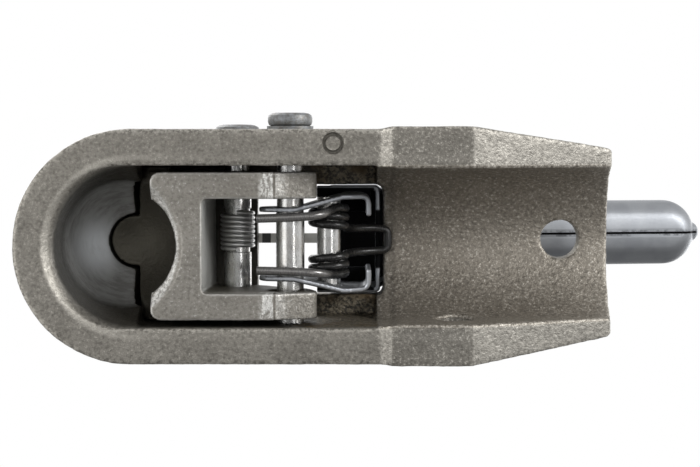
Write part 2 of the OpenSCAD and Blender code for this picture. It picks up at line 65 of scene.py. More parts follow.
Colour = tuple[float, float, float, float]
Point = tuple[float, float, float]


class Rides(Enum):
    """Bodies of the frame that a piece can move with."""

    BODY = "body"
    JAW = "jaw"
    LEVER = "lever"


class Slot(Enum):
    """Material slots of the record."""

    CASTING = "casting"
    JAW = "jaw_casting"
    PIN = "pin_steel"
    SPRING = "spring_steel"
    PLATED = "plated_sheet"


class Value:
    """A node output with the arithmetic that a pattern is written in."""

    def __init__(self, graph: "Graph", socket: bpy.types.NodeSocket) -> None:
        """Keeps the graph and the output that the value comes from."""
        self.graph = graph
        self.socket = socket

    def _math(self, operation: str, first: "Value | float", second: "Value | float") -> "Value":
        """Adds one Math node.

        Args:
            operation: Name of the Math node's operation.
            first: Value of its first socket.
            second: Value of its second socket.

        Returns:
            The node's result.
        """
        return self.graph.node("ShaderNodeMath", {"operation": operation}, {0: first, 1: second})

    def __add__(self, other: "Value | float") -> "Value":
        """Sum."""
        return self._math("ADD", self, other)

    __radd__ = __add__

    def __sub__(self, other: "Value | float") -> "Value":
        """Difference."""
        return self._math("SUBTRACT", self, other)

    def __rsub__(self, other: "Value | float") -> "Value":
        """Difference with the number first."""
        return self._math("SUBTRACT", other, self)

    def __mul__(self, other: "Value | float") -> "Value":
        """Product."""
        return self._math("MULTIPLY", self, other)

    __rmul__ = __mul__

    def power(self, exponent: float) -> "Value":
        """The value raised to an exponent."""
        return self._math("POWER", self, exponent)

    def at_least(self, other: "Value | float") -> "Value":
        """The larger of two values."""
        return self._math("MAXIMUM", self, other)

    def at_most(self, other: "Value | float") -> "Value":
        """The smaller of two values."""
        return self._math("MINIMUM", self, other)

    def band(self, low: float, high: float, start: float = 0.0, end: float = 1.0) -> "Value":
        """Runs smoothly from start to end while the value goes from low to high.

        Args:
            low: Value at which the result is start.
            high: Value at which the result is end.
            start: Result at low.
            end: Result at high.

        Returns:
            The smooth result.
        """
        settings = {"interpolation_type": "SMOOTHSTEP"}
        values = {0: self, 1: low, 2: high, 3: start, 4: end}
        return self.graph.node("ShaderNodeMapRange", settings, values)


class Graph:
    """A node tree of a material or a world, built by one method."""

    def __init__(self, name: str) -> None:
        """Starts an empty material of that name."""
        self.material = bpy.data.materials.new(name)
        self.material.use_nodes = True
        self.tree = self.material.node_tree
        self.tree.nodes.clear()

    @classmethod
    def of_world(cls, world: bpy.types.World) -> "Graph":
        """Starts an empty graph in a world.

        Args:
            world: The world.

        Returns:
            The graph.
        """
        graph = cls.__new__(cls)
        graph.tree = world.node_tree
        graph.tree.nodes.clear()
        return graph

    def node(
        self, kind: str, settings: dict | None = None, values: dict | None = None, output: int = 0
    ) -> Value:
        """Adds a node.

        Args:
            kind: The node's type.
            settings: Its settings.
            values: Values or links of its inputs, by name or number.
            output: Number of the output to return.

        Returns:
            That output.
        """
        made = self.tree.nodes.new(kind)
        for key, value in (settings or {}).items():
            setattr(made, key, value)
        for key, value in (values or {}).items():
            if isinstance(value, Value):
                self.tree.links.new(value.socket, made.inputs[key])
            else:
                made.inputs[key].default_value = value
        return Value(self, made.outputs[output])

    def point(self) -> Value:
        """Place on the piece, in the row's frame."""
        return self.node("ShaderNodeTexCoord", output=3)

    def upward(self) -> Value:
        """How far the surface looks up: 1 straight up, -1 straight down."""
        return self.axis(self.node("ShaderNodeNewGeometry", output=1), 2)

    def pointed(self) -> Value:
        """How sharp the surface is: more than 0.5 on an outer edge."""
        return self.node("ShaderNodeNewGeometry", output=7)

    def axis(self, point: Value, number: int) -> Value:
        """One coordinate of a place: 0 for x, 1 for y, 2 for z."""
        return self.node("ShaderNodeSeparateXYZ", values={0: point}, output=number)

    def distance(self, point: Value, centre: Point) -> Value:
        """Distance of a place from a centre, in metres."""
        return self.node("ShaderNodeVectorMath", {"operation": "DISTANCE"}, {0: point, 1: centre}, output=1)

    def stretched(self, point: Value, scale: Point, turn: float = 0.0) -> Value:
        """Place for a pattern that is squeezed along the axes and turned about Z.

        Args:
            point: Place on the piece.
            scale: Squeeze along X, Y and Z.
            turn: Turn, in radians.

        Returns:
            The place in the pattern.
        """
        values = {"Vector": point, "Rotation": (0, 0, turn), "Scale": scale}
        return self.node("ShaderNodeMapping", values=values)

    def grain(self, point: Value, size_mm: float, detail: float = 2.0, roughness: float = 0.5) -> Value:
        """Noise with features of a real size.

        Args:
            point: Place that the noise is read at.
            size_mm: Size of a feature.
            detail: Number of finer layers.
            roughness: Weight of the finer layers.

        Returns:
            Noise around 0.5.
        """
        values = {"Vector": point, "Scale": 1000.0 / size_mm, "Detail": detail, "Roughness": roughness}
        return self.node("ShaderNodeTexNoise", values=values)

    def blend(self, factor: Value | float, first: Value | Colour, second: Value | Colour) -> Value:
        """Goes from the first colour to the second by a factor."""
        values = {0: factor, 6: first, 7: second}
        return self.node("ShaderNodeMix", {"data_type": "RGBA"}, values, output=2)

    def bump(self, height: Value, depth_mm: float, strength: float, under: Value | None = None) -> Value:
        """Relief from a height.

        Args:
            height: Height between 0 and 1.
            depth_mm: Real depth of that range.
            strength: Strength of the relief.
            under: Relief that this one lies on.

        Returns:
            The normal.
        """
        values: dict = {"Height": height, "Distance": depth_mm * MM, "Strength": strength}
        if under is not None:
            values["Normal"] = under
        return self.node("ShaderNodeBump", values=values)

    def surface(self, **inputs: Value | float | Colour) -> bpy.types.Material:
        """Ends the tree in one Principled shader.

        Args:
            inputs: The shader's inputs, with underscores for spaces.

        Returns:
            The finished material.
        """
        values = {key.replace("_", " "): value for key, value in inputs.items()}
        return self.finish(self.node("ShaderNodeBsdfPrincipled", values=values))

    def finish(self, shader: Value) -> bpy.types.Material:
        """Ends the tree in a shader.

        Args:
            shader: The shader.

        Returns:
            The finished material.
        """
        end = self.tree.nodes.new("ShaderNodeOutputMaterial")
        self.tree.links.new(shader.socket, end.inputs["Surface"])
        return self.material


class Place:
    """A place on the piece in the row's frame, with its coordinates in metres."""

    def __init__(self, graph: Graph) -> None:
        """Reads the place from the piece's own coordinates."""
        self.graph = graph
        self.point = graph.point()
        self.along, self.across, self.height = (graph.axis(self.point, i) for i in range(3))
        self.across_squared = self.across * self.across


def flat_distance(first: Value, second: Value) -> Value:
    """Distance in a plane, from its two coordinates."""
    return (first * first + second * second).power(0.5)


def copy_node(frame: dict, name: str) -> bpy.types.Object:
    """Copies a node's mesh into a new object and merges its loose triangles.

    Args:
        name: The node.

    Returns:
        The copy.
    """
    piece = bpy.data.objects.new(name + "_skin", frame["nodes"][name].data.copy())
    bpy.context.scene.collection.objects.link(piece)
    select_only(piece)
    bpy.ops.object.mode_set(mode="EDIT")
    bpy.ops.mesh.select_all(action="SELECT")
    bpy.ops.mesh.remove_doubles(threshold=0.000005)
    bpy.ops.object.mode_set(mode="OBJECT")
    return piece


def thin_out(piece: bpy.types.Object, most_faces: int) -> None:
    """Brings a piece under a number of triangles, fewest where it is flat.

    Args:
        piece: The object.
        most_faces: Largest number of triangles.
    """
    faces = sum(len(polygon.vertices) - 2 for polygon in piece.data.polygons)
    if faces > most_faces:
        apply_modifier(piece, "DECIMATE", ratio=most_faces / faces)


def select_only(piece: bpy.types.Object) -> None:
    """Makes one object the only selected and the active one.

    Args:
        piece: The object.
    """
    bpy.ops.object.select_all(action="DESELECT")
    piece.select_set(True)
    bpy.context.view_layer.objects.active = piece


def apply_modifier(piece: bpy.types.Object, kind: str, **settings: object) -> None:
    """Adds a modifier and applies it.

    Args:
        piece: The object.
        kind: The modifier's type.
        settings: Its settings.
    """
    select_only(piece)
    modifier = piece.modifiers.new(kind.lower(), kind)
    for key, value in settings.items():
        setattr(modifier, key, value)
    bpy.ops.object.modifier_apply(modifier=modifier.name)


def join_or_cut(piece: bpy.types.Object, tool: bpy.types.Object, operation: str) -> None:
    """Joins a tool to a piece or cuts it away, and removes the tool.

    Args:
        piece: The piece.
        tool: The tool.
        operation: The Boolean modifier's operation.
    """
    apply_modifier(piece, "BOOLEAN", object=tool, operation=operation, solver="EXACT")
    bpy.data.objects.remove(tool)


def dress(piece: bpy.types.Object, material: bpy.types.Material, angle: float = 35.0) -> None:
    """Gives a new piece its material and smooth shading.

    Args:
        piece: The object.
        material: Its material.
        angle: Edges sharper than this, in degrees, stay sharp.
    """
    piece.data.materials.clear()
    piece.data.materials.append(material)
    select_only(piece)
    bpy.ops.object.shade_smooth_by_angle(angle=math.radians(angle))


def settle(piece: bpy.types.Object, rides: Rides, slot: Slot, *nodes: str) -> None:
    """Puts a finished piece on its body and hides the nodes that it stands for.

    Args:
        piece: The object.
        rides: Body that it moves with.
        slot: Its material slot; not used.
        nodes: Nodes that it replaces.
    """
    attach(piece, rides.value)
    if nodes:
        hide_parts(*nodes)
    LOG.info("%s rides on %s, %d faces", piece.name, rides.value, len(piece.data.polygons))


def place_at_origin(piece: bpy.types.Object) -> None:
    """Moves a piece's place, turn and scale into its mesh."""
    select_only(piece)
    bpy.ops.object.transform_apply(location=True, rotation=True, scale=True)


def recalculate(piece: bpy.types.Object) -> None:
    """Merges doubles and turns all faces outwards.

    Args:
        piece: The object.
    """
    select_only(piece)
    bpy.ops.object.mode_set(mode="EDIT")
    bpy.ops.mesh.select_all(action="SELECT")
    bpy.ops.mesh.remove_doubles(threshold=0.00001)
    bpy.ops.mesh.normals_make_consistent(inside=False)
    bpy.ops.object.mode_set(mode="OBJECT")


@dataclass(frozen=True)
class RingMark:
    """Plain ring sunk in the rim, in millimetres."""

    x: float = 82.0
    y: float = -39.6
    z: float = -22.0
    radius: float = 3.45
    line: float = 0.85

    def cut(self, piece: bpy.types.Object) -> None:
        """Sinks the ring into a piece.

        Args:
            piece: The casting.
        """
        bpy.ops.object.select_all(action="DESELECT")
        bpy.ops.mesh.primitive_torus_add(
            location=Vector((self.x, self.y, self.z)) * MM,
            major_radius=self.radius * MM,
            minor_radius=self.line * MM,
            major_segments=48,
            minor_segments=10,
        )
        join_or_cut(piece, bpy.context.object, "DIFFERENCE")

    def groove_darkening(self, at: Place) -> Value:
        """Share of the dark line in the ring's groove, painted shade for the groove.

        Args:
            at: Place on the casting.

        Returns:
            The share.
        """
        away = flat_distance(at.along - self.x * MM, at.across - self.y * MM)
        inner = away.band((self.radius - 0.9) * MM, (self.radius - 0.4) * MM)
        outer = away.band((self.radius + 0.9) * MM, (self.radius + 0.4) * MM)
        return inner * outer * at.height.band(-18 * MM, -20 * MM)


@dataclass(frozen=True)
class GripLine:
    """Start of the sloping grip's underside in millimetres, and its slope in degrees."""

    x: float = 124.0
    z: float = 68.0
    slope: float = 9.0


@dataclass(frozen=True)
class CastFinish:
    """Blasted cast iron with painted glints on its grains, painted shade in its hollows, faces painted
    paler and darker for light and shade, and a machined socket with a painted highlight, in metres.
    """

    name: str
    base: Colour = (0.243, 0.229, 0.201, 1)
    dark: Colour = (0.085, 0.077, 0.066, 1)
    # Colour of painted shade, for the cavity's inside and the ring's groove.
    deep_shade: Colour = (0.040, 0.036, 0.028, 1)
    ledge: Colour = (0.210, 0.180, 0.130, 1)
    grease: Colour = (0.120, 0.085, 0.045, 1)
    # Colour of the channel: a browner tone, partly painted shade.
    channel_shade_and_tone: Colour = (0.232, 0.206, 0.170, 1)
    # Colour of the painted glints, the lighter edges and the crest's wear and painted highlight.
    bright: Colour = (0.62, 0.59, 0.53, 1)
    pale: Colour = (0.45, 0.43, 0.39, 1)
    machined: Colour = (0.33, 0.33, 0.322, 1)
    # Colour of the painted highlight in the socket.
    painted_highlight: Colour = (0.82, 0.85, 0.88, 1)
    front_grey: Colour = (0.150, 0.147, 0.138, 1)
    ring: RingMark = RingMark()
    grain_mm: float = 1.25
    fine_mm: float = 0.55
    cloud_mm: float = 20.0
    swirl_mm: float = 7.0
    wave_mm: float = 3.0
    socket_r: float = 25.8 * MM
    highlight_spot: Point = (-15.0 * MM, 2.2 * MM, 20.0 * MM)
    highlight_r: float = 17 * MM
    mouth_x: float = 6 * MM
    cavity_half_w: float = 31.2 * MM
    ledge_x: float = 75 * MM
    coarse_x: float = 96 * MM
    channel_x: float = 99.3 * MM
    channel_r: float = 30.0 * MM
    axis_z: float = 5 * MM
    step_x: float = 100.2 * MM
    rail_x: float = 104.7 * MM
    rise_x: float = 135.6 * MM
    step_light_share: float = 0.28
    rise_light_share: float = 0.34
    rail_shade_share: float = 0.16

    def material(self) -> bpy.types.Material:
        """Builds the casting's material.

        Returns:
            The material.
        """
        graph = Graph(self.name)
        at = Place(graph)
        grain = graph.grain(at.point, self.grain_mm, 3, 0.6)
        fine = graph.grain(at.point, self.fine_mm, 2)
        cloud = graph.grain(at.point, self.cloud_mm, 4, 0.6)
        ground = self._ground(at)
        deep_shade = self._cavity_shade(at)
        trough = self._trough(at)
        below = graph.upward().band(-0.45, -0.65)
        coarse = trough + (1 - trough) * below * at.along.band(self.coarse_x, self.coarse_x + 5 * MM)
        skin = graph.blend(cloud.band(0.35, 0.65) * 0.22, self.base, self.dark)
        # Painted light and shade: the downward step and rising rails turn paler, the flat rails darker.
        skin = graph.blend(self._facets(at) * below, skin, self.pale)
        skin = graph.blend(self._rails(at) * below * self.rail_shade_share, skin, self.dark)
        # Partly painted shade: the channel turns a browner, slightly darker tone.
        skin = graph.blend(trough * 0.8, skin, self.channel_shade_and_tone)
        skin = graph.blend(grain.band(0.52, 0.32) * 0.5, skin, self.dark)
        # Painted glints: bright specks on the grain stand in for highlights, stronger in the channel and on
        # downward rear faces; pointed edges get lighter specks too.
        glint = grain.band(0.50, 0.70) * fine.band(0.40, 0.62) * (0.36 + coarse * 0.42)
        edge = graph.pointed().band(0.508, 0.55) * grain.band(0.40, 0.55)
        skin = graph.blend((glint + edge * 0.42) * (1 - deep_shade * 0.8), skin, self.bright)
        # Painted shade: the inside of the cavity turns dark, with patches of other tones.
        skin = graph.blend(deep_shade * 0.93, skin, self._cavity_shade_and_dirt(at, grain, cloud))
        # Painted shade: a dark line in the ring's groove.
        skin = graph.blend(self.ring.groove_darkening(at) * 0.65, skin, self.deep_shade)
        colour = graph.blend(ground, skin, self._socket(at))
        # Partly painted highlight: the rounded crest of the mouth turns pale, as wear and as highlight.
        colour = graph.blend(self._crest_wear_and_highlight(at) * fine.band(0.30, 0.60, 0.55, 1.0), colour, self.bright)
        rough = graph.grain(at.point, 2.5, 2).band(0.3, 0.7, 0.44, 0.58) - ground * 0.06
        relief = graph.bump(grain * (1 - ground), 0.26, 1.0)
        relief = graph.bump(fine * (1 - ground * 0.8 + coarse), 0.08, 0.8, relief)
        wave = graph.grain(graph.stretched(at.point, (1.0, 2.0, 1.0), 0.6), self.wave_mm, 2)
        outside = self._rise(at) * (1 - trough) * below * 0.22
        wavy = trough * 0.35 + outside + deep_shade * self._behind(at)
        relief = graph.bump(wave * wavy, 0.8, 0.8, relief)
        metal = ground.band(0, 1, 0.6, 0.15)
        return graph.surface(Base_Color=colour, Roughness=rough, Metallic=metal, Normal=relief)

    def _cavity_shade_and_dirt(self, at: Place, grain: Value, cloud: Value) -> Value:
        """Colour of the cavity's inside: painted shade, paler grey towards the front, with brown greasy
        patches in the middle and grainy tan patches from the ledge back.

        Args:
            at: Place on the casting.
            grain: The casting's grain.
            cloud: The casting's large patches.

        Returns:
            The colour.
        """
        cavity_tone = at.graph.blend(self._behind(at) * grain.band(0.40, 0.60), self.deep_shade, self.ledge)
        greasy = cloud.band(0.52, 0.66) * at.along.band(40 * MM, 70 * MM)
        cavity_tone = at.graph.blend(greasy, cavity_tone, self.grease)
        return at.graph.blend(at.along.band(2 * MM, -24 * MM) * 0.85, cavity_tone, self.front_grey)

    def _socket(self, at: Place) -> Value:
        """Colour of the machined socket, with smeared marks and a painted highlight on its deep side.

        Args:
            at: Place on the casting.

        Returns:
            The colour.
        """
        swirl = at.graph.grain(at.graph.stretched(at.point, (1, 1, 5)), self.swirl_mm, 5, 0.7)
        mark = at.graph.blend(swirl.band(0.40, 0.62) * 0.4, self.machined, self.dark)
        # Painted highlight: a pale bluish spot on the socket's deep side, where it would catch light.
        highlight_spot = at.graph.distance(at.point, self.highlight_spot).band(self.highlight_r, 1 * MM)
        return at.graph.blend(highlight_spot * swirl.band(0.25, 0.6, 0.75, 1.0) * 0.88, mark, self.painted_highlight)

    def _ground(self, at: Place) -> Value:
        """Share of the machined ball socket."""
        inside = at.graph.distance(at.point, (0, 0, 0)).band(self.socket_r, self.socket_r - 0.5 * MM)
        return inside * at.height.band(-2 * MM, 10 * MM)

    def _plan(self, at: Place) -> Value:
        """Distance from the middle of the cavity, which is round in front and straight behind."""
        return flat_distance((at.along - self.mouth_x).at_most(0.0), at.across)

    def _crest_wear_and_highlight(self, at: Place) -> Value:
        """Share of the crest round the front of the mouth that is bright, partly rubbed and partly painted
        highlight.

        Args:
            at: Place on the casting.

        Returns:
            The share.
        """
        plan = self._plan(at)
        inner = plan.band(self.cavity_half_w + 1.3 * MM, self.cavity_half_w + 2.8 * MM)
        outer = plan.band(self.cavity_half_w + 5.2 * MM, self.cavity_half_w + 3.4 * MM)
        front = at.along.band(24 * MM, -22 * MM, 0.08, 0.55)
        return inner * outer * at.height.band(-14 * MM, -17 * MM) * front

    def _cavity_shade(self, at: Place) -> Value:
        """Share of the painted shade inside the front cavity.

        Args:
            at: Place on the casting.

        Returns:
            The share.
        """
        inside = self._plan(at).band(self.cavity_half_w + 1.9 * MM, self.cavity_half_w + 0.6 * MM)
        deep = at.height.band(-21 * MM, -15 * MM) * at.height.band(40 * MM, 36 * MM)
        return inside * deep * at.along.band(self.channel_x + 0.6 * MM, self.channel_x - 0.4 * MM)

    def _behind(self, at: Place) -> Value:
        """Share of the rear part of the cavity, from the ledge on."""
        return at.along.band(self.ledge_x - 3 * MM, self.ledge_x + 3 * MM)

    def _trough(self, at: Place) -> Value:
        """Share of the drawbar channel.

        Args:
            at: Place on the casting.

        Returns:
            The share.
        """
        off = flat_distance((at.height - self.axis_z).at_least(0.0), at.across)
        inside = off.band(self.channel_r + 1.6 * MM, self.channel_r + 0.8 * MM)
        return inside * at.along.band(self.channel_x - 0.5 * MM, self.channel_x + 0.5 * MM)

    def _facets(self, at: Place) -> Value:
        """Share of the step and rising rails that is painted paler, as painted light on faces that tilt
        towards +X.

        Args:
            at: Place on the casting.

        Returns:
            The share.
        """
        step = at.along.band(self.step_x - 0.4 * MM, self.step_x + 0.4 * MM)
        step = step * at.along.band(self.rail_x + 0.3 * MM, self.rail_x - 0.3 * MM)
        return step * self.step_light_share + self._rise(at) * self.rise_light_share

    def _rails(self, at: Place) -> Value:
        """Share of the flat rails between the step and the rise that is painted darker, as painted shade.
        """
        start = at.along.band(self.rail_x - 0.3 * MM, self.rail_x + 0.3 * MM)
        return start * at.along.band(self.rise_x + 0.3 * MM, self.rise_x - 0.3 * MM)

    def _rise(self, at: Place) -> Value:
        """Share of the rising rails behind the flat ones."""
        return at.along.band(self.rise_x - 0.5 * MM, self.rise_x + 0.5 * MM)


@dataclass(frozen=True)
class JawFinish:
    """Cast jaw with ridges and lip partly worn and partly painted highlight, painted glints underneath,
    painted shade on its upper parts and olive-brown ball face, and a window wall painted lighter as painted
    light, in metres.
    """

    name: str
    base: Colour = (0.275, 0.260, 0.232, 1)
    dark: Colour = (0.095, 0.085, 0.070, 1)
    # Colour of the painted shade on the jaw's upper parts and ball face.
    face_shade: Colour = (0.090, 0.083, 0.064, 1)
    wall_light: Colour = (0.400, 0.400, 0.380, 1)
    # Colour of the wear and the painted highlights and glints on the jaw.
    worn_and_highlight: Colour = (0.78, 0.77, 0.74, 1)
    grain_mm: float = 1.3
    fine_mm: float = 0.5
    cloud_mm: float = 18.0
    clump_mm: float = 2.6
    jaw_r: float = 25.6 * MM
    lip_x: float = -9.7 * MM
    lip_r: float = 30.7 * MM
    window_x: float = 30.4 * MM
    window_half_w: float = 18 * MM
    arm_y: float = 17 * MM
    ridge_x: float = 58.9 * MM

    def material(self) -> bpy.types.Material:
        """Builds the jaw's material.

        Returns:
            The material.
        """
        graph = Graph(self.name)
        at = Place(graph)
        grain = graph.grain(at.point, self.grain_mm, 3, 0.6)
        fine = graph.grain(at.point, self.fine_mm, 2)
        cloud = graph.grain(at.point, self.cloud_mm, 3)
        clump = graph.grain(graph.stretched(at.point, (1.5, 0.7, 1.0), 0.5), self.clump_mm, 3, 0.6)
        low = at.height.band(-8 * MM, -11 * MM)
        skin = graph.blend(cloud.band(0.35, 0.65) * 0.25, self.base, self.dark)
        skin = graph.blend(grain.band(0.52, 0.32) * 0.45, skin, self.dark)
        # Painted glints: bright specks on the grain of the lower faces stand in for highlights.
        glint = grain.band(0.55, 0.70) * fine.band(0.45, 0.62)
        skin = graph.blend(glint * 0.5 * low, skin, self.worn_and_highlight)
        # Painted shade: the jaw's upper parts and its ball face turn dark olive-brown.
        face_shade = graph.blend(grain.band(0.35, 0.7) * 0.35, self.face_shade, self.dark)
        skin = graph.blend(at.height.band(-11.5 * MM, -5 * MM) * 0.9, skin, face_shade)
        ball = graph.distance(at.point, (0, 0, 0))
        skin = graph.blend(ball.band(self.jaw_r + 1.2 * MM, self.jaw_r + 0.3 * MM), skin, face_shade)
        # Painted light: the recessed front wall of the window turns pale grey.
        skin = graph.blend(self._window_light(at) * 0.9, skin, self.wall_light)
        # Partly painted highlight: the lip, the ridges and the lower pointed edges turn pale, as wear and
        # as highlight.
        worn_and_highlight = self._wear_and_highlight(at, clump) * (grain * 0.6 + fine * 0.4).band(0.40, 0.56, 0.30, 1.0)
        worn_and_highlight = worn_and_highlight.at_least(graph.pointed().band(0.51, 0.56) * low * 0.55)
        colour = graph.blend(worn_and_highlight, skin, self.worn_and_highlight)
        # Painted shade: a dark line in the crease behind the ridges.
        colour = graph.blend(self._crease_shade(at) * low * 0.6, colour, self.dark)
        relief = graph.bump(grain, 0.24, 1.0)
        relief = graph.bump(fine, 0.07, 0.8, relief)
        arms = at.along.band(self.ridge_x - 7 * MM, self.ridge_x - 3 * MM) * low
        relief = graph.bump(clump * arms, 0.6, 0.8, relief)
        rough = worn_and_highlight.band(0, 1, 0.48, 0.34)
        return graph.surface(Base_Color=colour, Roughness=rough, Metallic=0.6, Normal=relief)

    def _window_light(self, at: Place) -> Value:
        """Share of the front wall of the window between the arms that is painted lighter, as painted light.

        Args:
            at: Place on the jaw.

        Returns:
            The share.
        """
        near = at.along.band(self.window_x, self.window_x + 1 * MM) * at.along.band(39 * MM, 37 * MM)
        deep = at.height.band(-16.6 * MM, -15.6 * MM)
        wide = at.across_squared.band(self.window_half_w**2, (self.window_half_w - 0.8 * MM) ** 2)
        return near * deep * wide

    def _crease_shade(self, at: Place) -> Value:
        """Share of the painted shade line in the crease behind the arms' ridges."""
        start = at.along.band(self.ridge_x - 0.1 * MM, self.ridge_x + 0.35 * MM)
        return start * at.along.band(self.ridge_x + 1.1 * MM, self.ridge_x + 0.6 * MM)

    def _wear_and_highlight(self, at: Place, clump: Value) -> Value:
        """Share of the lip and the arms' ridges that is bright, partly rubbed and partly painted highlight.

        Args:
            at: Place on the jaw.
            clump: Pattern of the bright spots in front of the ridges, partly rubbed and partly painted
                highlight.

        Returns:
            The share.
        """
        away = flat_distance(at.along - self.lip_x, at.across)
        lip = away.band(self.lip_r + 2.2 * MM, self.lip_r + 0.6 * MM)
        lip = lip * away.band(self.lip_r - 2.2 * MM, self.lip_r - 0.8 * MM)
        lip = lip * at.across.band(-14 * MM, 12 * MM, 0.62, 1.0)
        before = at.along.band(self.ridge_x - 6.5 * MM, self.ridge_x - 3 * MM)
        before = before * at.along.band(self.ridge_x + 0.2 * MM, self.ridge_x - 0.2 * MM)
        after = at.along.band(self.ridge_x + 0.8 * MM, self.ridge_x + 1.2 * MM)
        after = after * at.along.band(self.ridge_x + 7 * MM, self.ridge_x + 1.5 * MM)
        ridges = before * clump.band(0.44, 0.54, 0.25, 1.3) + after * 0.5
        ridges = ridges * at.across_squared.band(self.arm_y**2, (self.arm_y + 1.5 * MM) ** 2)
        return (lip * 0.95 + ridges) * at.height.band(-9 * MM, -12 * MM)


@dataclass(frozen=True)
class SteelFinish:
    """Drawn or ground steel with faint scratches and oil, in metres.

    The optional places add a dark patch from patch_x on, painted shade on the wire above a height, and dull
    zinc below zinc_y.
    """

    name: str
    base: Colour
    film: Colour
    roughness: float
    metallic: float = 1.0
    film_share: float = 0.35
    patch_x: float | None = None
    shade_z: float | None = None
    zinc_y: float | None = None
    patch: Colour = (0.02, 0.02, 0.02, 1)
    patch_l: float = 3.6 * MM
    # Colour of the painted shade on the wire.
    depth_shade: Colour = (0.018, 0.018, 0.018, 1)
    zinc: Colour = (0.27, 0.28, 0.29, 1)
    zinc_dark: Colour = (0.17, 0.165, 0.155, 1)

    def material(self) -> bpy.types.Material:
        """Builds the steel's material.

        Returns:
            The material.
        """
        graph = Graph(self.name)
        at = Place(graph)
        scratch = graph.grain(graph.stretched(at.point, (6.0, 0.6, 6.0)), 1.6, 4, 0.65)
        cloud = graph.grain(at.point, 6, 3)
        colour = graph.blend(cloud.band(0.42, 0.66) * self.film_share, self.base, self.film)
        rough = scratch.band(0.3, 0.7, self.roughness * 0.8, self.roughness * 1.3)
        relief = graph.bump(scratch, 0.01, 0.4)
        if self.patch_x is not None:
            patch_end = self.patch_x + self.patch_l
            patch = at.along.band(self.patch_x - 0.2 * MM, self.patch_x)
            patch = patch * at.along.band(patch_end, patch_end - 0.2 * MM)
            colour = graph.blend(patch * 0.92, colour, self.patch)
        if self.shade_z is not None:
            # Painted shade: the wire turns near black above a height, where it lies deep in the hood.
            depth_shade = at.height.band(self.shade_z, self.shade_z + 5 * MM)
            colour = graph.blend(depth_shade * 0.9, colour, self.depth_shade)
        if self.zinc_y is not None:
            dull = at.across.band(self.zinc_y, self.zinc_y - 0.6 * MM)
            spots = graph.grain(at.point, 2.2, 4, 0.7)
            zinc = graph.blend(spots.band(0.36, 0.64), self.zinc, self.zinc_dark)
            colour = graph.blend(dull, colour, zinc)
            rough = rough + dull * 0.26
            relief = graph.bump(spots * dull, 0.10, 0.6, relief)
        return graph.surface(Base_Color=colour, Roughness=rough, Metallic=self.metallic, Normal=relief)


